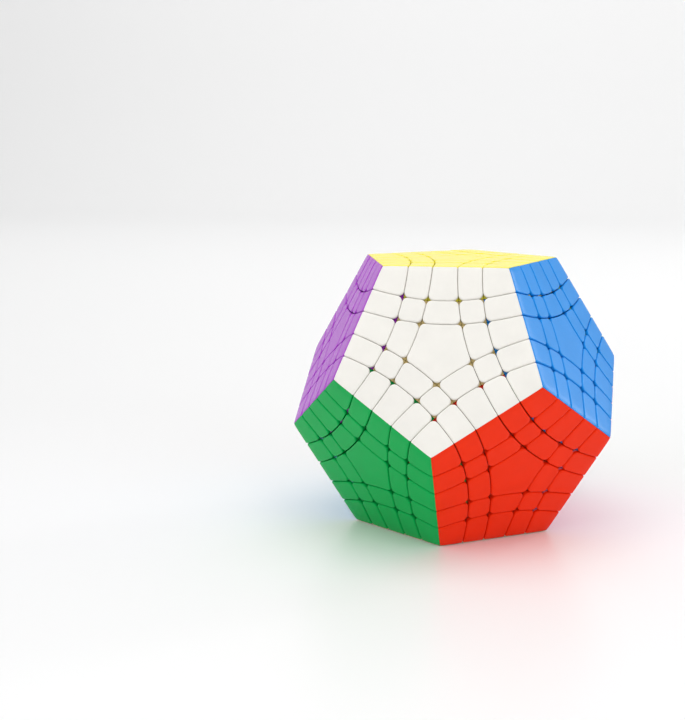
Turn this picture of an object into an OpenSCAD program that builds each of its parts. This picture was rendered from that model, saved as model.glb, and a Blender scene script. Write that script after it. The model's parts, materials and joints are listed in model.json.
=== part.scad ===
// Twelve-sided twisty puzzle with five layers along every face axis. The twelve arms of its core carry
// a sprung centre each. Every other piece is a coloured shell, or two or three, on a foot, and all
// pieces are parted by round cuts about the face axes. Three faces can turn, two layers each.
// Stands on its cream face: millimetres, Z up, origin under its middle.

/* [Size] */
// Length of one edge of the twelve-sided body
edge = 44; // [40:1:60]

/* [Cuts] */
// Tip of the outer cut's cone above the middle of the body, as a share of the edge
outer_cut_share = 0.431; // [0.426:0.001:0.436]
// Tip of the inner cut's cone above the middle of the body, as a share of the edge
inner_cut_share = 0.214; // [0.209:0.001:0.219]
// Angle at which both cones rise, away from square to the face's axis
cut_slope = 27.7; // [27.2:0.1:28.2]
// Gap between the coloured shells of two layers
shell_gap = 0.3; // [0.2:0.02:0.4]
// Gap between the feet of two layers, which run under the shells
foot_gap = 1.1; // [1:0.05:1.3]

/* [Shells and feet] */
// Thickness of the coloured shells
shell_thick = 2; // [1.6:0.1:2.4]
// Depth of the feet under the shells
foot_depth = 5; // [3:0.5:6]

/* [Core] */
// Radius of the twelve arms
arm_radius = 2.7; // [2.5:0.1:2.9]
// Radius of the screws' shanks
shank_radius = 1.2; // [1:0.1:1.4]
// Radius of the screws' heads
head_radius = 3.6; // [3.3:0.1:3.8]
// Height of the screws' heads
head_height = 2.2; // [1.8:0.1:2.6]
// Room for a spring, from the floor of the centre's cup to the screw's head
spring_length = 9; // [8:0.5:10]
// Radius of the springs' wire
wire_radius = 0.35; // [0.3:0.05:0.45]
// Turns of a spring
spring_turns = 4; // [4:1:6]

/* [Hidden] */
// Shape of a regular body with twelve faces
PHI = (1 + sqrt(5)) / 2;
FACE_INRADIUS = edge / (2 * tan(36));
FACE_CIRCUMRADIUS = edge / (2 * sin(36));
FACE_HEIGHT = edge * PHI * PHI / (2 * sqrt(3 - PHI));
NEIGHBOUR_TILT = acos(1 / sqrt(5));
RIM_TILT = atan(FACE_INRADIUS / FACE_HEIGHT);
SIDES = 5;
STEP = 360 / SIDES;

// Cut cones
SLOPE = tan(cut_slope);
OUTER_TIP = outer_cut_share * edge;
INNER_TIP = inner_cut_share * edge;
BEYOND = 2 * edge;
TOP = 1.5 * FACE_HEIGHT;
FOOT_TOP = FACE_HEIGHT - shell_thick;
FOOT_LEVEL = FOOT_TOP - foot_depth / 2;
RIM_REACH = 1.2 * FACE_INRADIUS;
// How far the parts of a foot under two faces run into each other
RIM_LAP = 0.02;
// Radius at which a foot's cut starts, within the screws' shanks
CUT_START = 0.5;

// Along a face's axis
RUNNING_GAP = 0.35;
HUB_RADIUS = 0.16 * edge;
CUP_DEPTH = FOOT_TOP - OUTER_TIP;
CORE_RADIUS = INNER_TIP * cos(cut_slope) - foot_gap;
CUP_RADIUS = head_radius + 1;
CUP_FLOOR = OUTER_TIP + 6.2;
ARM_START = 0.7 * CORE_RADIUS;
ARM_END = OUTER_TIP + 0.6;
HEAD_BASE = CUP_FLOOR + spring_length;
SCREW_END = CORE_RADIUS + 1.5;
SHANK_PLAY = 0.06;
SLOT_WIDTH = 0.8;
SLOT_DEPTH = 1.2;
SPRING_RADIUS = head_radius - wire_radius - 0.1;
SPRING_PLAY = 0.15;
SPRING_RINGS = 9;
WIRE_SIDES = 6;

// Colour names of the faces, and where each points: tilt from up, compass angle, spin of its pentagon
YELLOW = 0;
WHITE = 1;
BLUE = 2;
LIME = 3;
ORANGE = 4;
PURPLE = 5;
RED = 6;
PINK = 7;
GREY = 8;
AQUA = 9;
GREEN = 10;
CREAM = 11;
TOP_RING = [for (i = [0:4]) [NEIGHBOUR_TILT, -90 + STEP * i, 0]];
BOTTOM_RING = [for (i = [0:4]) [180 - NEIGHBOUR_TILT, -54 + STEP * i, 180]];
FACES = concat([[0, 18, 0]], TOP_RING, BOTTOM_RING, [[180, 18, 0]]);
FACE_COLOURS = [
    "gold", "white", "dodgerblue", "yellowgreen", "orange", "mediumorchid",
    "orangered", "hotpink", "gray", "skyblue", "forestgreen", "blanchedalmond"
];
FOOT_COLOUR = [0.15, 0.15, 0.16];

// Bodies: what stays with the core, then the outer layer and the inner slice of three faces
CORE = 0;
TURNING = [YELLOW, RED, AQUA];
YELLOW_LAYER = 1;
RED_LAYER = 2;
AQUA_LAYER = 3;
YELLOW_SLICE = 4;
RED_SLICE = 5;
AQUA_SLICE = 6;

// How far a piece reaches across the cuts of a face: clear of both, between them, or past both
CLEAR = 0;
SLICE = 1;
LAYER = 2;
// Levels of a tile at two sides of its face that meet, which tell the kinds of tile apart
T_CENTRE = [SLICE, CLEAR];
X_CENTRE = [SLICE, SLICE];
MIDGE = [LAYER, CLEAR];
WING = [LAYER, SLICE];
MIRRORED_WING = [SLICE, LAYER];
CORNER = [LAYER, LAYER];
SHELL_KINDS = [T_CENTRE, X_CENTRE, MIDGE, WING, MIRRORED_WING, CORNER];
FOOT_KINDS = [T_CENTRE, X_CENTRE, MIDGE, WING, CORNER];

$fn = 96;

// ---- directions ----

function turned_y(v, a) = [v[0] * cos(a) + v[2] * sin(a), v[1], v[2] * cos(a) - v[0] * sin(a)];
function turned_z(v, a) = [v[0] * cos(a) - v[1] * sin(a), v[0] * sin(a) + v[1] * cos(a), v[2]];
function from_face(f, v) =
    turned_z(turned_y(turned_z(v, FACES[f][2]), FACES[f][0]), FACES[f][1]);
function side_angle(j) = 180 + STEP * j;
function axis_of(f) = from_face(f, [0, 0, 1]);
function side_axis(f, j) =
    from_face(f, turned_z(turned_y([0, 0, 1], NEIGHBOUR_TILT), side_angle(j)));
// The face on the other side of side j of face f
function neighbour(f, j) = [for (g = [0:11]) if (norm(axis_of(g) - side_axis(f, j)) < 0.1) g][0];

module on_face(f) {
    translate([0, 0, FACE_HEIGHT])
        rotate([0, FACES[f][0], FACES[f][1]])
            rotate([0, 0, FACES[f][2]])
                children();
}

module at_side(j) {
    rotate([0, 0, STEP * j]) children();
}

// Turns what is drawn about +Z so that it is about the axis of the neighbour across side j
module about_neighbour(j) {
    rotate([0, 0, side_angle(j)])
        rotate([0, NEIGHBOUR_TILT, 0])
            children();
}

// ---- which body a piece belongs to ----

// The piece's levels are [face, level] pairs
function turning_body(face, level) =
    [for (i = [0:2]) if (TURNING[i] == face && level != CLEAR) level == LAYER ? 1 + i : 4 + i];
function body_of(levels) =
    let (found = [for (l = levels) each turning_body(l[0], l[1])])
    len(found) > 0 ? found[0] : CORE;
// What the piece under a tile of face f reaches across: its own face's cuts, and those of two sides
function piece_levels(f, j, kind) =
    [[f, LAYER], [neighbour(f, j), kind[0]], [neighbour(f, j + 1), kind[1]]];
// Draws each foot once: under the first of a mid-edge or corner piece's faces, and under the one face
// of a wing where its tile isn't mirrored
function drawn_here(f, j, kind) =
    (kind != MIDGE && kind != CORNER) ||
    (f < neighbour(f, j) && (kind == MIDGE || f < neighbour(f, j + 1)));

// ---- cuts ----

function cut_tip(level) = level == LAYER ? OUTER_TIP : INNER_TIP;
function rise(gap) = gap / 2 / cos(cut_slope);

// Everything past a cut between shells. It starts well out from the axis, where the shells are.
module past_shell_cut(level, side) {
    tip = cut_tip(level) + side * rise(shell_gap);
    base = 0.55 * edge;
    translate([0, 0, base])
        cylinder(h = TOP - base, r1 = (base - tip) / SLOPE, r2 = (TOP - tip) / SLOPE);
}

// A cone past a cut between feet, from the face's axis out to a height above the middle
module past_foot_cut(level, side, height = TOP) {
    tip = cut_tip(level) + side * rise(foot_gap);
    base = tip + CUT_START * SLOPE;
    translate([0, 0, base])
        cylinder(h = height - base, r1 = CUT_START, r2 = (height - tip) / SLOPE);
}

// ---- coloured shells, drawn in the frame of their face ----

// Everything on the inner side of the plane through the body's middle and side j, and a little past it
module inside_rim(j, over = 0) {
    rotate([0, 0, side_angle(j)])
        rotate([0, RIM_TILT, 0])
            translate([over - 2 * BEYOND, -BEYOND, -BEYOND])
                cube(2 * BEYOND);
}

module shell_sheet() {
    translate([0, 0, FACE_HEIGHT - shell_thick])
        cylinder(h = shell_thick, r = 1.1 * FACE_CIRCUMRADIUS);
}

// Cuts what is drawn down to one level at the neighbour across side j
module keep_shell_level(j, level) {
    difference() {
        intersection() {
            children();
            if (level != CLEAR) about_neighbour(j) past_shell_cut(level, 1);
            if (level == LAYER) inside_rim(j);
        }
        if (level != LAYER) about_neighbour(j) past_shell_cut(level + 1, -1);
    }
}

// A tile in the middle of side 0 also stays clear of the cut about side 4
module shell_of_kind(kind) {
    difference() {
        keep_shell_level(1, kind[1]) keep_shell_level(0, kind[0]) shell_sheet();
        if (kind[1] == CLEAR) about_neighbour(4) past_shell_cut(SLICE, -1);
    }
}

module centre_shell() {
    difference() {
        shell_sheet();
        for (j = [0:4]) about_neighbour(j) past_shell_cut(SLICE, -1);
    }
}

// The shells of one colour that ride on one body
module shells(f, body) {
    color(FACE_COLOURS[f]) on_face(f) {
        if (body_of([[f, LAYER]]) == body) centre_shell();
        for (kind = SHELL_KINDS, j = [0:4])
            if (body_of(piece_levels(f, j, kind)) == body)
                at_side(j) shell_of_kind(kind);
    }
}

// ---- feet: what the shells clip to, under the sheet of shells ----

// Outlines are drawn on a plane square to the face's axis, at FOOT_LEVEL above the middle of the body.
// Their first number runs towards the neighbour at side 0, their second along that side.

// How far along side 0 a cut's cone meets that plane, at v to the side. No tip means the rim.
function reach(tip, v) =
    is_undef(tip) ? RIM_REACH :
    let (
        s = sin(NEIGHBOUR_TILT),
        c = cos(NEIGHBOUR_TILT),
        over = c * FOOT_LEVEL - tip,
        a = s * s - SLOPE * SLOPE * c * c,
        b = s * over + SLOPE * SLOPE * c * s * FOOT_LEVEL,
        d = over * over - SLOPE * SLOPE * (s * s * FOOT_LEVEL * FOOT_LEVEL + v * v)
    )
    (sqrt(b * b - a * d) - b) / a;
// Swaps sides 0 and 1
function swapped(p) =
    [p[0] * cos(STEP) + p[1] * sin(STEP), p[0] * sin(STEP) - p[1] * cos(STEP)];
function past(tip, p) = let (q = swapped(p)) q[0] > reach(tip, q[1]);
// Where a wall at side 0 meets a wall at side 1, by halving the stretch it lies in
function meet(wall, other, low = 0, high = FACE_CIRCUMRADIUS, rounds = 24) =
    let (v = (low + high) / 2, p = [reach(wall, v), v])
    rounds == 0 ? p :
    past(other, p) ? meet(wall, other, low, v, rounds - 1) : meet(wall, other, v, high, rounds - 1);
// Points on a wall at side 0 from p up to but not including q
function along(wall, p, q, count = 2) =
    [for (i = [0:count - 1]) let (v = p[1] + (q[1] - p[1]) * i / count) [reach(wall, v), v]];
function along_other(wall, p, q) = [for (r = along(wall, swapped(p), swapped(q))) swapped(r)];
// The walls of a foot at one side: nearest the face's middle, and furthest from it
function near_wall(level) = cut_tip(level) + rise(foot_gap);
function far_wall(level) = level == LAYER ? undef : cut_tip(level + 1) - rise(foot_gap);

// A foot between walls at sides 0 and 1
function corner_outline(kind) =
    let (
        near_0 = near_wall(kind[0]),
        far_0 = far_wall(kind[0]),
        near_1 = near_wall(kind[1]),
        far_1 = far_wall(kind[1]),
        a = meet(near_0, near_1),
        b = meet(near_0, far_1),
        c = meet(far_0, far_1),
        d = meet(far_0, near_1)
    )
    concat(
        along(near_0, a, b), along_other(far_1, b, c), along(far_0, c, d), along_other(near_1, d, a)
    );
// A foot in the middle of side 0, between the cuts of sides 1 and 4
function middle_outline(kind) =
    let (
        near_0 = near_wall(kind[0]),
        far_0 = far_wall(kind[0]),
        side = far_wall(CLEAR),
        a = [reach(near_0, 0), 0],
        b = meet(near_0, side),
        c = meet(far_0, side),
        d = [reach(far_0, 0), 0],
        half = concat(along(near_0, a, b), along_other(side, b, c), along(far_0, c, d))
    )
    concat(half, [d], [for (i = [len(half) - 1:-1:1]) [half[i][0], -half[i][1]]]);
// A centre's foot, clear of the cuts of all five sides
function centre_outline() =
    let (
        wall = far_wall(CLEAR),
        end = meet(wall, wall),
        side = along(wall, [end[0], -end[1]], end, 4)
    )
    [for (j = [0:4]) for (p = side)
        [p[0] * cos(STEP * j) - p[1] * sin(STEP * j), p[0] * sin(STEP * j) + p[1] * cos(STEP * j)]];

// Draws an outline as a block that ends under the shells
module foot_prism(outline, depth) {
    translate([0, 0, FOOT_TOP - depth])
        rotate([0, 0, side_angle(0)])
            linear_extrude(depth)
                polygon(outline);
}

// The part of a foot that lies under one face
module foot_under_face(kind) {
    intersection() {
        foot_prism(kind[1] == CLEAR ? middle_outline(kind) : corner_outline(kind), foot_depth);
        if (kind[0] == LAYER) inside_rim(0, RIM_LAP);
        if (kind[1] == LAYER) inside_rim(1, RIM_LAP);
    }
}

// Adds the same shape on the other side of the rim at side j
module over_rim(j) {
    mirror([cos(side_angle(j)) * cos(RIM_TILT), sin(side_angle(j)) * cos(RIM_TILT), -sin(RIM_TILT)])
        children();
}

module foot_of_kind(kind) {
    union() {
        foot_under_face(kind);
        if (kind[0] == LAYER) over_rim(0) foot_under_face(kind);
        if (kind[1] == LAYER) over_rim(1) foot_under_face(kind);
    }
}

// The feet under all visible pieces of one body, apart from the centres
module feet(body) {
    color(FOOT_COLOUR)
        for (f = [0:11]) on_face(f)
            for (kind = FOOT_KINDS, j = [0:4])
                if (drawn_here(f, j, kind) && body_of(piece_levels(f, j, kind)) == body)
                    at_side(j) foot_of_kind(kind);
}

// ---- pieces around an arm ----

// The cup under a centre's shell: the spring stands on its floor, the screw's shank runs through it
module centre_base() {
    difference() {
        intersection() {
            foot_prism(centre_outline(), CUP_DEPTH);
            past_foot_cut(LAYER, 1, FACE_HEIGHT);
        }
        translate([0, 0, CUP_FLOOR]) cylinder(h = FACE_HEIGHT, r = CUP_RADIUS);
        cylinder(h = FACE_HEIGHT, r = shank_radius + RUNNING_GAP);
    }
}

module centre_bases(body) {
    color(FOOT_COLOUR)
        for (f = [0:11])
            if (body_of([[f, LAYER]]) == body) on_face(f) centre_base();
}

// The ring of a slice that turns on the core's arm, between the slice's two cuts
module slice_hub() {
    inside = arm_radius + RUNNING_GAP;
    under = INNER_TIP + rise(foot_gap);
    over = OUTER_TIP - rise(foot_gap);
    rotate_extrude()
        polygon([
            [inside, under + inside * SLOPE],
            [HUB_RADIUS, under + HUB_RADIUS * SLOPE],
            [HUB_RADIUS, over + HUB_RADIUS * SLOPE],
            [inside, over + inside * SLOPE]
        ]);
}

module slice_hubs(body) {
    color(FOOT_COLOUR)
        for (f = [0:11])
            if (body_of([[f, SLICE]]) == body) on_face(f) slice_hub();
}

// ---- core, screws and springs ----

module core() {
    color(FOOT_COLOUR) difference() {
        union() {
            translate([0, 0, FACE_HEIGHT]) sphere(r = CORE_RADIUS);
            for (f = [0:11])
                on_face(f)
                    translate([0, 0, ARM_START])
                        cylinder(h = ARM_END - ARM_START, r = arm_radius);
        }
        for (f = [0:11])
            on_face(f)
                translate([0, 0, SCREW_END - 1])
                    cylinder(h = FACE_HEIGHT, r = shank_radius + SHANK_PLAY);
    }
}

module screw() {
    difference() {
        union() {
            translate([0, 0, SCREW_END]) cylinder(h = HEAD_BASE - SCREW_END + 1, r = shank_radius);
            translate([0, 0, HEAD_BASE]) cylinder(h = head_height, r = head_radius);
        }
        for (turn = [0, 90])
            rotate([0, 0, turn])
                translate([-0.7 * head_radius, -SLOT_WIDTH / 2, HEAD_BASE + head_height - SLOT_DEPTH])
                    cube([1.4 * head_radius, SLOT_WIDTH, head_height]);
    }
}

module screws() {
    color("silver") for (f = [0:11]) on_face(f) screw();
}

// A helix of wire: rings of points around its middle line, joined by flat faces
module spring() {
    rise = spring_length - 2 * wire_radius - 2 * SPRING_PLAY;
    last = spring_turns * SPRING_RINGS;
    points = [
        for (i = [0:last], k = [0:WIRE_SIDES - 1])
            let (
                turn = 360 * i / SPRING_RINGS,
                around = 360 * k / WIRE_SIDES,
                out = SPRING_RADIUS + wire_radius * cos(around)
            )
            [out * cos(turn), out * sin(turn), rise * i / last + wire_radius * sin(around)]
    ];
    sides = [
        for (i = [0:last - 1], k = [0:WIRE_SIDES - 1])
            let (a = i * WIRE_SIDES, b = a + WIRE_SIDES, next = (k + 1) % WIRE_SIDES)
            [a + k, b + k, b + next, a + next]
    ];
    start = [for (k = [0:WIRE_SIDES - 1]) k];
    end = [for (k = [WIRE_SIDES - 1:-1:0]) last * WIRE_SIDES + k];
    translate([0, 0, CUP_FLOOR + SPRING_PLAY + wire_radius])
        polyhedron(points, concat(sides, [start, end]), convexity = 10);
}

module springs() {
    color("lightgray") for (f = [0:11]) on_face(f) spring();
}

core();
screws();
springs();
centre_bases(CORE);  // core_centre_bases
feet(CORE);  // core_piece_feet
slice_hubs(CORE);  // core_slice_hubs
centre_bases(YELLOW_LAYER);  // yellow_layer_centre_base
centre_bases(RED_LAYER);  // red_layer_centre_base
centre_bases(AQUA_LAYER);  // aqua_layer_centre_base
feet(YELLOW_LAYER);  // yellow_layer_feet
feet(RED_LAYER);  // red_layer_feet
feet(AQUA_LAYER);  // aqua_layer_feet
feet(YELLOW_SLICE);  // yellow_slice_feet
feet(RED_SLICE);  // red_slice_feet
feet(AQUA_SLICE);  // aqua_slice_feet
slice_hubs(YELLOW_SLICE);  // yellow_slice_hub
slice_hubs(RED_SLICE);  // red_slice_hub
slice_hubs(AQUA_SLICE);  // aqua_slice_hub
shells(YELLOW, YELLOW_LAYER);  // yellow_layer_yellow_shells
shells(WHITE, YELLOW_LAYER);  // yellow_layer_white_shells
shells(BLUE, YELLOW_LAYER);  // yellow_layer_blue_shells
shells(LIME, YELLOW_LAYER);  // yellow_layer_lime_shells
shells(ORANGE, YELLOW_LAYER);  // yellow_layer_orange_shells
shells(PURPLE, YELLOW_LAYER);  // yellow_layer_purple_shells
shells(RED, RED_LAYER);  // red_layer_red_shells
shells(WHITE, RED_LAYER);  // red_layer_white_shells
shells(BLUE, RED_LAYER);  // red_layer_blue_shells
shells(GREEN, RED_LAYER);  // red_layer_green_shells
shells(PINK, RED_LAYER);  // red_layer_pink_shells
shells(CREAM, RED_LAYER);  // red_layer_cream_shells
shells(AQUA, AQUA_LAYER);  // aqua_layer_aqua_shells
shells(ORANGE, AQUA_LAYER);  // aqua_layer_orange_shells
shells(PURPLE, AQUA_LAYER);  // aqua_layer_purple_shells
shells(GREEN, AQUA_LAYER);  // aqua_layer_green_shells
shells(GREY, AQUA_LAYER);  // aqua_layer_grey_shells
shells(CREAM, AQUA_LAYER);  // aqua_layer_cream_shells
shells(WHITE, YELLOW_SLICE);  // yellow_slice_white_shells
shells(BLUE, YELLOW_SLICE);  // yellow_slice_blue_shells
shells(LIME, YELLOW_SLICE);  // yellow_slice_lime_shells
shells(ORANGE, YELLOW_SLICE);  // yellow_slice_orange_shells
shells(PURPLE, YELLOW_SLICE);  // yellow_slice_purple_shells
shells(WHITE, RED_SLICE);  // red_slice_white_shells
shells(BLUE, RED_SLICE);  // red_slice_blue_shells
shells(GREEN, RED_SLICE);  // red_slice_green_shells
shells(PINK, RED_SLICE);  // red_slice_pink_shells
shells(CREAM, RED_SLICE);  // red_slice_cream_shells
shells(ORANGE, AQUA_SLICE);  // aqua_slice_orange_shells
shells(PURPLE, AQUA_SLICE);  // aqua_slice_purple_shells
shells(GREEN, AQUA_SLICE);  // aqua_slice_green_shells
shells(GREY, AQUA_SLICE);  // aqua_slice_grey_shells
shells(CREAM, AQUA_SLICE);  // aqua_slice_cream_shells
shells(WHITE, CORE);  // core_white_shells
shells(BLUE, CORE);  // core_blue_shells
shells(LIME, CORE);  // core_lime_shells
shells(ORANGE, CORE);  // core_orange_shells
shells(PURPLE, CORE);  // core_purple_shells
shells(PINK, CORE);  // core_pink_shells
shells(GREY, CORE);  // core_grey_shells
shells(GREEN, CORE);  // core_green_shells
shells(CREAM, CORE);  // core_cream_shells
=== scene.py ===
"""Looks of the twelve-sided twisty puzzle.

Rounded coloured shells stand in for the CAD's sharp-edged ones, and the feet under them get the
colours that show through the gaps, darkened as painted shade. A plain studio and a camera go round
them.
"""
import json
import math
import random

import bpy
import numpy as np
from mathutils import Matrix, Vector

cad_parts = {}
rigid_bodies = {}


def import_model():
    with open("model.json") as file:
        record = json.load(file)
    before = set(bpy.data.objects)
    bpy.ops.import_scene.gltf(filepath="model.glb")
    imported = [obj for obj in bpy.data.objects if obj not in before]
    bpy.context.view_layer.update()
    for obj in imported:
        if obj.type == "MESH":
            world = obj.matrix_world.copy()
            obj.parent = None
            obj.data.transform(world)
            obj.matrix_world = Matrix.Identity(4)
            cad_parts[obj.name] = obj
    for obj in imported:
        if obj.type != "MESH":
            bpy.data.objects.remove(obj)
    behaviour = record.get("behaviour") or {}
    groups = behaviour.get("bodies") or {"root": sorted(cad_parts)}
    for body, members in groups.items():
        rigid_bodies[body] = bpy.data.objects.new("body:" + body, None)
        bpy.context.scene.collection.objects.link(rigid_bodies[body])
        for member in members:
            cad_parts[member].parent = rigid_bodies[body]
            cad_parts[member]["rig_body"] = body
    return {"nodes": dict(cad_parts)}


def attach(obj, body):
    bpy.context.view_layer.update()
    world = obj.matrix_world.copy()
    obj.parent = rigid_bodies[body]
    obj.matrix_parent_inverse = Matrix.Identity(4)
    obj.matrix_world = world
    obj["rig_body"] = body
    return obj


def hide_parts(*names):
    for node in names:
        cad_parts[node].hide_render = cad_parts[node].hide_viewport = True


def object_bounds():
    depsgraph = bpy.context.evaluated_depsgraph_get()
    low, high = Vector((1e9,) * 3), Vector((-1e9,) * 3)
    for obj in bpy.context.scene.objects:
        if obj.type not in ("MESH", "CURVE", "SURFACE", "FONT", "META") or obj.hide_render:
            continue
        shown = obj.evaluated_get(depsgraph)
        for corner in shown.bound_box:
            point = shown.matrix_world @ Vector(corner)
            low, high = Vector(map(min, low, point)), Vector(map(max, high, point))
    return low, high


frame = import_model()
cad_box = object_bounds()

# ---- the body: a regular dodecahedron standing on a face ----
PHI = (1 + math.sqrt(5)) / 2
LOW, HIGH = cad_box
FACE_HEIGHT = (HIGH.z - LOW.z) / 2
EDGE = FACE_HEIGHT * 2 * math.sqrt(3 - PHI) / PHI**2
MIDDLE = np.array([0.0, 0.0, FACE_HEIGHT])
FACE_INRADIUS = EDGE / (2 * math.tan(math.radians(36)))
TILT = math.acos(1 / math.sqrt(5))
RIM_SLANT = FACE_INRADIUS / FACE_HEIGHT

# ---- cuts, as in the CAD: two cones about every face's axis ----
CUT_SLOPE = math.radians(27.7)
RISE = math.tan(CUT_SLOPE)
OUTER_TIP = 0.431 * EDGE
INNER_TIP = 0.214 * EDGE
SHELL_GAP = 0.00027  # a little under the CAD's running gap, as the cuts look
PALE_GAP = 0.00014  # cuts look finer between shells that scatter light into them
CLEAR, SLICE, LAYER = 0, 1, 2  # how far in past a side's cuts a shell or a point lies
CENTRE = None  # the kind of shell in the middle of a face
TIPS = {SLICE: INNER_TIP, LAYER: OUTER_TIP}

# ---- shells ----
PLATE_TOP = 0.0012  # a shell's square-cornered base lies from here down
SHELL_BOTTOM = 0.00198
HOLE_RADIUS = 0.0019  # corners where four shells meet leave a star-shaped hole
RIM_CORNER_RADIUS = 0.0004
PLATE_RADIUS = 0.0002
EDGE_FILLET = 0.00052
RIM_SEAM = 0.00003  # between the shells of two faces that meet at a rim
RIM_ROUNDING = 0.0001
DOME_WIDTH = 0.0036  # shells fall away towards a rim over this width
DOME_DROP = 0.00024
FILLET_STEPS = 4
WALL_STEPS = 6
CORNER_STEPS = 5
TOP_RINGS = (0.9, 0.78, 0.62, 0.42)  # shares of the way out from a shell's middle
SMALLEST_RADIUS = EDGE * 1e-3
SHELL_TIP_DEG = 0.2  # how far a clipped-on shell may sit out of true
SHELL_SINK = 0.00005
LARGE_FACES_LEAD = 80  # weight of a face's area in the shading, of 100


def axis(tilt, compass):
    return np.array(
        [math.sin(tilt) * math.cos(compass), math.sin(tilt) * math.sin(compass), math.cos(tilt)]
    )


def ring(names, tilt, first):
    return {n: axis(tilt, math.radians(first + 72 * i)) for i, n in enumerate(names)}


FACES = {
    "yellow": axis(0, 0),
    **ring(("white", "blue", "lime", "orange", "purple"), TILT, -90),
    **ring(("red", "pink", "grey", "aqua", "green"), math.pi - TILT, -54),
    "cream": axis(math.pi, 0),
}
TURNING = ("yellow", "red", "aqua")
PALE = ("white", "cream")


def sides_of(name):
    """A face's neighbours, counter-clockwise, and its plane's axes, the first towards one."""
    n = FACES[name]
    near = [(o, b) for o, b in FACES.items() if abs(b @ n - math.cos(TILT)) < 0.01]
    first = near[0][1] - (near[0][1] @ n) * n
    first /= np.linalg.norm(first)
    second = np.cross(n, first)
    half_step = math.radians(36)  # keeps the first neighbour, at angle 0, in front

    def turn(neighbour):
        _, b = neighbour
        return (math.atan2(b @ second, b @ first) + half_step) % (2 * math.pi)

    return [o for o, _ in sorted(near, key=turn)], first, second


# ---- outlines in the plane of a face ----


class Wall:
    """One side of a shell at a depth under its face: a cut's cone, or with no level the face's rim.

    The shell lies beyond the cut, towards the face at that side, or on the near side of it.
    """

    def __init__(self, side, level, beyond, gap, inset=0.0, depth=0.0):
        self.side, self.level, self.beyond, self.gap = side, level, beyond, gap
        self.inset, self.depth = inset, depth
        a = math.radians(72 * side)
        self.out = np.array([math.cos(a), math.sin(a)])
        self.across = np.array([-math.sin(a), math.cos(a)])

    @property
    def is_rim(self):
        return self.level is None

    def moved(self, inset, depth):
        """The same wall moved into the shell."""
        return Wall(self.side, self.level, self.beyond, self.gap, inset, depth)

    def reach(self, v):
        """How far out the wall stands, at v to the side."""
        if self.is_rim:
            return FACE_INRADIUS - self.inset
        shift = (self.gap / 2 + self.inset) / math.cos(CUT_SLOPE)
        tip = TIPS[self.level] + (shift if self.beyond else -shift)
        height = FACE_HEIGHT - self.depth
        s, c, m = math.sin(TILT), math.cos(TILT), RISE * RISE
        over = c * height - tip
        a = s * s - m * c * c
        b = s * over + m * c * s * height
        d = over * over - m * (s * s * height * height + v * v)
        return (math.sqrt(b * b - a * d) - b) / a

    def point(self, v):
        return self.out * self.reach(v) + self.across * v

    def miss(self, p):
        return p @ self.out - self.reach(p @ self.across)

    def normal(self, v):
        """Square to the wall, pointing out of the shell."""
        step = EDGE * 1e-4
        t = self.point(v + step) - self.point(v - step)
        t /= np.linalg.norm(t)
        return np.array([-t[1], t[0]]) if self.beyond else np.array([t[1], -t[0]])


def meeting(one, other):
    """Where two walls cross, by Newton's method from where their tangents would."""
    guess = np.linalg.solve(np.array([one.out, other.out]), [one.reach(0), other.reach(0)])
    step = EDGE * 1e-5
    for _ in range(8):
        miss = [w.miss(guess) for w in (one, other)]
        slope = [
            [(w.miss(guess + d) - w.miss(guess)) / step for d in np.eye(2) * step]
            for w in (one, other)
        ]
        guess = guess - np.linalg.solve(slope, miss)
    return guess


def far_wall(side, level, gap):
    return Wall(side, None if level == LAYER else level + 1, False, gap)


def walls_of(kind, gap):
    """The walls of a kind of shell in order round it; a kind is its levels at sides 0 and 1."""
    if kind is CENTRE:
        return [far_wall(j, CLEAR, gap) for j in range(5)]
    p, q = kind
    near = Wall(0, p, True, gap)
    if q == CLEAR:
        return [far_wall(0, p, gap), far_wall(1, CLEAR, gap), near, far_wall(4, CLEAR, gap)]
    return [far_wall(0, p, gap), far_wall(1, q, gap), near, Wall(1, q, True, gap)]


def outline(walls, depth, cut_inset, rim_inset, hole_radius):
    """Points round a shell at a depth, with its walls moved in and its corners rounded."""
    walls = [w.moved(rim_inset if w.is_rim else cut_inset, depth) for w in walls]
    rounds = []
    for one, other in zip([walls[-1], *walls], walls):
        full = RIM_CORNER_RADIUS if one.is_rim or other.is_rim else hole_radius
        radius = max(full - (one.inset + other.inset) / 2, SMALLEST_RADIUS)
        inner = [w.moved(w.inset + radius, depth) for w in (one, other)]
        centre = meeting(*inner)
        rounds.append((centre, radius, *[w.normal(centre @ w.across) for w in inner]))
    rows = []
    for k, wall in enumerate(walls):
        centre, radius, before, after = rounds[k]
        for i in range(CORNER_STEPS + 1):
            t = i / CORNER_STEPS
            n = before * (1 - t) + after * t
            rows.append(centre + n / np.linalg.norm(n) * radius)
        end, end_radius, end_normal, _ = rounds[(k + 1) % len(walls)]
        va, vb = rows[-1] @ wall.across, (end + end_normal * end_radius) @ wall.across
        for i in range(1, WALL_STEPS):
            rows.append(wall.point(va + (vb - va) * i / WALL_STEPS))
    return np.array(rows)


def fall(distance):
    """How far a shell's surface has dropped at a distance from a rim."""
    return DOME_DROP * np.clip(1 - distance / DOME_WIDTH, 0, 1) ** 2


def domed(verts, walls):
    """Lets a shell's surface fall towards its rims, along the plane between the two faces."""
    rims = [w for w in walls if w.is_rim]
    distances = [FACE_INRADIUS - verts[:, :2] @ w.out for w in rims]
    above_base = np.clip(1 + verts[:, 2] / PLATE_TOP, 0, 1)
    drop = np.sqrt(sum(fall(d) ** 2 for d in distances)) * above_base
    for w, d in zip(rims, distances):
        pull = drop * RIM_SLANT * np.clip(1 - d / DOME_WIDTH, 0, 1)
        verts[:, :2] -= np.outer(pull, w.out)
    verts[:, 2] -= drop


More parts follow.
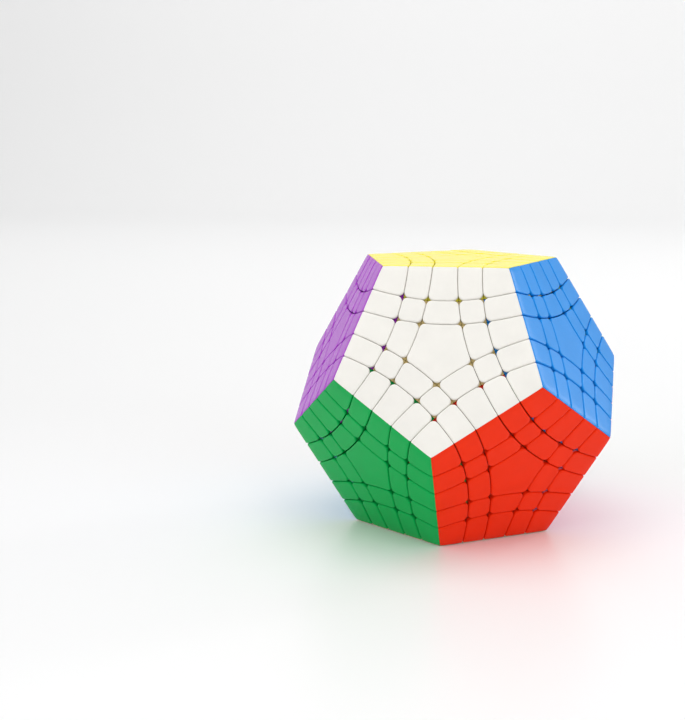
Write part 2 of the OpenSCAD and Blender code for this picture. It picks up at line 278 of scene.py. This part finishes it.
def shell_mesh(kind, gap):
    """A shell's vertices in its face's own frame, in rings from the base up, and a ring's size."""
    walls = walls_of(kind, gap)
    # Depth, inset at cuts, inset at rims, radius of the corners
    rings = [
        (SHELL_BOTTOM, 0, SHELL_BOTTOM * RIM_SLANT + RIM_SEAM, PLATE_RADIUS),
        (PLATE_TOP, 0, PLATE_TOP * RIM_SLANT + RIM_SEAM, PLATE_RADIUS),
        (PLATE_TOP, 0, PLATE_TOP * RIM_SLANT + RIM_SEAM, HOLE_RADIUS),
    ]
    for k in range(FILLET_STEPS + 1):
        turn = math.pi / 2 * k / FILLET_STEPS
        depth = EDGE_FILLET * (1 - math.sin(turn))
        at_rim = depth * RIM_SLANT + RIM_SEAM + RIM_ROUNDING * (k / FILLET_STEPS) ** 2
        rings.append((depth, EDGE_FILLET * (1 - math.cos(turn)), at_rim, HOLE_RADIUS))
    layers = []
    for depth, *shape in rings:
        xy = outline(walls, depth, *shape)
        layers.append(np.column_stack([xy, np.full(len(xy), -depth)]))
    if any(w.is_rim for w in walls):
        top, middle = layers[-1], layers[-1].mean(0)
        layers += [middle + (top - middle) * share for share in TOP_RINGS]
    verts = np.vstack(layers)
    domed(verts, walls)
    return verts, len(layers[0])


KINDS = [
    (SLICE, CLEAR),  # t-centre
    (SLICE, SLICE),  # x-centre
    (LAYER, CLEAR),  # mid-edge
    (LAYER, SLICE),  # wings
    (SLICE, LAYER),
    (LAYER, LAYER),  # corner
]
GAPS = (SHELL_GAP, PALE_GAP)
MESHES = {(kind, gap): shell_mesh(kind, gap) for kind in [CENTRE, *KINDS] for gap in GAPS}
SHARP_RINGS = 3  # the lowest rings, which are the base's corners
# The base's colour is a face colour darkened as painted shade, or tan under the pale faces
PLATE_RINGS = 2  # the lowest bands between rings, which have the base's colour


def body_of(levels):
    for face, level in levels:
        if face in TURNING and level != CLEAR:
            return face + ("_layer" if level == LAYER else "_slice")
    return "core"


def shells_on(face):
    """A face's shells: body, kind, turn in fifths, and the face whose colour the base has."""
    sides, _, _ = sides_of(face)
    yield body_of([(face, LAYER)]), CENTRE, 0, face
    for kind in KINDS:
        for j in range(5):
            one, other = sides[j], sides[(j + 1) % 5]
            body = body_of([(face, LAYER), (one, kind[0]), (other, kind[1])])
            beneath = other if kind[1] == LAYER else one if kind[0] == LAYER else face
            yield body, kind, j, face if beneath in PALE else beneath


def mesh_for(face, kind):
    return MESHES[kind, PALE_GAP if face in PALE else SHELL_GAP]


def placed(face, kind, j, draw):
    """A shell's vertices in the frame's coordinates, clipped on a hair out of true."""
    local = mesh_for(face, kind)[0].copy()
    _, first, second = sides_of(face)
    a = math.radians(72 * j)
    x = first * math.cos(a) + second * math.sin(a)
    y = second * math.cos(a) - first * math.sin(a)
    tip = [math.tan(math.radians(draw.gauss(0, SHELL_TIP_DEG))) for _ in range(2)]
    lift = (local[:, :2] - local[:, :2].mean(0)) @ tip
    local[:, 2] += lift - abs(lift).max() - draw.random() * SHELL_SINK
    return MIDDLE + np.outer(FACE_HEIGHT + local[:, 2], FACES[face]) + local[:, :2] @ [x, y]


def show(name, data):
    thing = bpy.data.objects.new(name, data)
    bpy.context.scene.collection.objects.link(thing)
    return thing


def joined(name, face, shells):
    """One mesh object of many shells, with the colours of their bases, mostly darkened as painted
    shade, as further materials.
    """
    draw = random.Random(name)
    unders = sorted({beneath for *_, beneath in shells})
    verts, faces, colours, ring_of, start = [], [], [], [], 0
    for kind, j, beneath in shells:
        points, count = mesh_for(face, kind)
        verts.append(placed(face, kind, j, draw))
        rings = len(points) // count
        under_slot = 1 + unders.index(beneath)
        for k in range(rings - 1):
            a, b = start + k * count, start + (k + 1) * count
            for i in range(count):
                n = (i + 1) % count
                faces.append((a + i, a + n, b + n, b + i))
            colours += [under_slot if k < PLATE_RINGS else 0] * count
        last = start + (rings - 1) * count
        faces += [tuple(range(last, last + count)), tuple(range(start + count - 1, start - 1, -1))]
        colours += [0, under_slot]
        for k in range(rings):
            ring_of += [start + k if k < SHARP_RINGS else -1] * count
        start += len(points)
    mesh = bpy.data.meshes.new(name)
    mesh.from_pydata(np.vstack(verts).tolist(), [], faces)
    mesh.materials.append(paint[face])
    for u in unders:
        mesh.materials.append(under[u])
    mesh.polygons.foreach_set("material_index", colours)
    mesh.polygons.foreach_set("use_smooth", [True] * len(faces))
    ends = np.empty(len(mesh.edges) * 2, int)
    mesh.edges.foreach_get("vertices", ends)
    rings = np.array(ring_of)[ends.reshape(-1, 2)]
    sharp = mesh.attributes.new("sharp_edge", "BOOLEAN", "EDGE")
    sharp.data.foreach_set("value", (rings[:, 0] == rings[:, 1]) & (rings[:, 0] >= 0))
    mesh.update()
    piece = show(name, mesh)
    weigh = piece.modifiers.new("even_shading", "WEIGHTED_NORMAL")
    weigh.weight = LARGE_FACES_LEAD
    weigh.keep_sharp = True
    return piece


# ---- materials ----
CLOUD_SCALE = 90.0
CLOUD_RANGE = (0.35, 0.65)
GRAIN_SCALE = 2600.0
GRAIN_HEIGHT = 0.0002
GLOSS_RANGE = (-0.04, 0.06)  # about a material's own roughness
PLASTIC_IOR = 1.45
PLASTIC_SPECULAR = 0.2


def add(tree, kind, **inputs):
    node = tree.nodes.new(kind)
    for name, value in inputs.items():
        node.inputs[name.replace("_", " ")].default_value = value
    return node


def plastic(name, colour, rough, grain=0.02, mottle=0.02):
    """Moulded plastic: faint clouding, fine surface grain and slightly uneven gloss."""
    mat = bpy.data.materials.new(name)
    mat.use_nodes = True
    tree = mat.node_tree
    shader = tree.nodes["Principled BSDF"]
    place = tree.nodes.new("ShaderNodeTexCoord")
    cloud = add(tree, "ShaderNodeTexNoise", Scale=CLOUD_SCALE, Detail=3.0, Roughness=0.6)
    fine = add(tree, "ShaderNodeTexNoise", Scale=GRAIN_SCALE, Detail=2.0, Roughness=0.5)
    shade = tree.nodes.new("ShaderNodeValToRGB")
    for end, position, change in zip(shade.color_ramp.elements, CLOUD_RANGE, (-mottle, mottle)):
        end.position = position
        end.color = (*[min(c * (1 + change), 1) for c in colour], 1)
    low, high = [rough + change for change in GLOSS_RANGE]
    gloss = add(tree, "ShaderNodeMapRange", To_Min=low, To_Max=high)
    bump = add(tree, "ShaderNodeBump", Strength=grain, Distance=GRAIN_HEIGHT)
    link = tree.links.new
    link(place.outputs["Object"], cloud.inputs["Vector"])
    link(place.outputs["Object"], fine.inputs["Vector"])
    link(cloud.outputs["Fac"], shade.inputs["Fac"])
    link(shade.outputs["Color"], shader.inputs["Base Color"])
    link(cloud.outputs["Fac"], gloss.inputs["Value"])
    link(gloss.outputs["Result"], shader.inputs["Roughness"])
    link(fine.outputs["Fac"], bump.inputs["Height"])
    link(bump.outputs["Normal"], shader.inputs["Normal"])
    shader.inputs["IOR"].default_value = PLASTIC_IOR
    shader.inputs["Specular IOR Level"].default_value = PLASTIC_SPECULAR
    shader.inputs["Specular Tint"].default_value = (*[0.5 + 0.5 * c for c in colour], 1)
    return mat


def metal(name, colour, rough):
    mat = plastic(name, colour, rough, grain=0.1, mottle=0.08)
    mat.node_tree.nodes["Principled BSDF"].inputs["Metallic"].default_value = 1.0
    return mat


SHELL_COLOURS = {
    "yellow": (0.95, 0.84, 0.06),
    "white": (0.87, 0.85, 0.80),
    "blue": (0.008, 0.28, 0.80),
    "lime": (0.36, 0.78, 0.06),
    "orange": (0.98, 0.30, 0.01),
    "purple": (0.41, 0.035, 0.59),
    "red": (0.94, 0.032, 0.003),
    "pink": (0.92, 0.25, 0.45),
    "grey": (0.20, 0.21, 0.23),
    "aqua": (0.20, 0.60, 0.84),
    "green": (0.0, 0.42, 0.085),
    "cream": (0.90, 0.74, 0.48),
}
TAN = (0.52, 0.40, 0.17)  # under the white and cream shells
# Painted shade: the bases and feet seen down the gaps get the face colours darkened by this share
UNDER_PAINTED_SHADE = 0.55
SHELL_ROUGHNESS = 0.23
INNER_ROUGHNESS = 0.5


# Tan under the pale faces; elsewhere a face colour darkened as painted shade
def under_colour(name):
    return TAN if name in PALE else [x * UNDER_PAINTED_SHADE for x in SHELL_COLOURS[name]]


paint = {n: plastic(f"{n}_plastic", c, SHELL_ROUGHNESS) for n, c in SHELL_COLOURS.items()}
# Materials of the bases and feet: darker copies of the shell plastics, as painted shade, and tan
# under the pale faces
under = {n: plastic(f"{n}_under_plastic_and_painted_shade", under_colour(n), INNER_ROUGHNESS) for n in SHELL_COLOURS}
inner = plastic("inner_plastic", (0.03, 0.03, 0.033), INNER_ROUGHNESS, mottle=0.2)
screw_steel = metal("screw_steel", (0.62, 0.62, 0.64), 0.3)
spring_steel = metal("spring_steel", (0.55, 0.56, 0.58), 0.25)


# ---- coloured shells in place of the CAD's sharp ones ----


def make_shells():
    shells = {}
    for face in FACES:
        for body, *shell in shells_on(face):
            shells.setdefault((body, face), []).append(shell)
    for (body, face), parts in shells.items():
        node = f"{body}_{face}_shells"
        piece = joined(f"{node}_rounded", face, parts)
        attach(piece, body)
        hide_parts(node)


# ---- feet: the CAD's own shapes, each part in the plastic that shows through the gaps, darkened as painted shade away from the pale faces ----


def level_at(point, face):
    """Which cut of a face a point lies past."""
    z = point @ FACES[face]
    out = math.sqrt(max(point @ point - z * z, 0))
    return LAYER if z > OUTER_TIP + RISE * out else SLICE if z > INNER_TIP + RISE * out else CLEAR


def make_feet():
    colours = [*FACES]
    for node, cad in frame["nodes"].items():
        if not node.endswith(("_feet", "_centre_base", "_centre_bases")):
            continue
        piece = show(f"{node}_moulded", cad.data.copy())
        mesh = piece.data
        mesh.materials.clear()
        for name in colours:
            mesh.materials.append(under[name])
        for poly in mesh.polygons:
            p = np.array(poly.center) - MIDDLE
            nearest, second, *_ = sorted(colours, key=lambda n: -(p @ FACES[n]))
            of_two_faces = level_at(p, second) == LAYER
            shown = second if of_two_faces and second not in PALE else nearest
            poly.material_index = colours.index(shown)
        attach(piece, cad["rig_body"])
        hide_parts(node)


def finish_inside():
    for node, mat in (("screws", screw_steel), ("springs", spring_steel)):
        repaint(frame["nodes"][node], mat)
    for node, cad in frame["nodes"].items():
        if node == "core" or node.endswith(("_hub", "_hubs")):
            repaint(cad, inner)


def repaint(cad, mat):
    cad.data.materials.clear()
    cad.data.materials.append(mat)


# ---- studio ----
CAMERA_AT = Vector((1.4214, -10.8915, 2.1714)) * EDGE
CAMERA_PAN = math.radians(12.40)
CAMERA_TILT = math.radians(-9.93)
CAMERA_ROLL = math.radians(-0.25)
FOCAL_LENGTH = 66.1
SENSOR_WIDTH = 36

# The floor, seen from the side: flat from FLOOR_FRONT to BEND_START, a quarter circle, then a wall
FLOOR_HALF_WIDTH = 3.0
FLOOR_FRONT = -3.0
BEND_START = 1.6
BEND_RADIUS = 0.8
BEND_STEPS = 16
WALL_TOP = 3.0
FLOOR_DROP = 0.00002  # keeps it just clear of the face that rests on it
FLOOR_COLOUR = (0.92, 0.92, 0.92, 1)
FLOOR_ROUGHNESS = 0.35
FLOOR_IOR = 1.35

SKY = 0.55
ON_PUZZLE = (0, 0, 0.05)
ON_WALL = (0.0, 2.4, 1.1)
# Name, place, width and height, watts, what it points at
LAMPS = (
    ("overhead", (0.0, -0.2, 1.1), (1.4, 1.4), 7.0, ON_PUZZLE),
    ("left_front", (-0.9, -0.9, 0.7), (0.8, 0.8), 2.6, ON_PUZZLE),
    ("right_front", (0.9, -0.8, 0.7), (0.7, 0.7), 2.2, ON_PUZZLE),
    ("right_side", (0.875, 0.776, 0.44), (0.12, 0.6), 1.6, ON_PUZZLE),
    ("behind", (0.0, 0.6, 1.6), (3.0, 0.8), 20, ON_WALL),
)


def make_camera():
    data = bpy.data.cameras.new("camera")
    data.lens = FOCAL_LENGTH
    data.sensor_width = SENSOR_WIDTH
    data.clip_start, data.clip_end = 0.01, 50
    cam = show("camera", data)
    cam.location = CAMERA_AT + Vector(MIDDLE)
    turn = Matrix.Rotation(CAMERA_PAN, 4, "Z") @ Matrix.Rotation(math.pi / 2 + CAMERA_TILT, 4, "X")
    cam.rotation_euler = (turn @ Matrix.Rotation(CAMERA_ROLL, 4, "Z")).to_euler()
    bpy.context.scene.camera = cam


def make_floor():
    """A floor that curves up into a wall behind."""
    line = [(FLOOR_FRONT, 0.0), (BEND_START, 0.0)]
    for k in range(1, BEND_STEPS + 1):
        a = math.pi / 2 * k / BEND_STEPS
        line.append((BEND_START + BEND_RADIUS * math.sin(a), BEND_RADIUS * (1 - math.cos(a))))
    line.append((BEND_START + BEND_RADIUS, WALL_TOP))
    verts = [(x, y, z) for y, z in line for x in (-FLOOR_HALF_WIDTH, FLOOR_HALF_WIDTH)]
    faces = [(2 * i, 2 * i + 1, 2 * i + 3, 2 * i + 2) for i in range(len(line) - 1)]
    mesh = bpy.data.meshes.new("floor")
    mesh.from_pydata(verts, [], faces)
    mesh.polygons.foreach_set("use_smooth", [True] * len(faces))
    floor = show("floor", mesh)
    floor.location.z = LOW.z - FLOOR_DROP
    mat = bpy.data.materials.new("floor")
    mat.use_nodes = True
    shader = mat.node_tree.nodes["Principled BSDF"]
    shader.inputs["Base Color"].default_value = FLOOR_COLOUR
    shader.inputs["Roughness"].default_value = FLOOR_ROUGHNESS
    shader.inputs["IOR"].default_value = FLOOR_IOR
    mesh.materials.append(mat)


def lamp(name, at, size, watts, aim):
    data = bpy.data.lights.new(name, "AREA")
    data.shape = "RECTANGLE"
    data.size, data.size_y = size
    data.energy = watts
    light = show(name, data)
    light.location = at
    light.rotation_euler = (Vector(aim) - Vector(at)).to_track_quat("-Z", "Y").to_euler()


def make_light():
    world = bpy.data.worlds.new("studio")
    world.use_nodes = True
    back = world.node_tree.nodes["Background"]
    back.inputs["Color"].default_value = (1, 1, 1, 1)
    back.inputs["Strength"].default_value = SKY
    bpy.context.scene.world = world
    for row in LAMPS:
        lamp(*row)
    bpy.context.scene.view_settings.view_transform = "Standard"


make_camera()
make_shells()
make_feet()
finish_inside()
make_floor()
make_light()

bpy.context.view_layer.update()
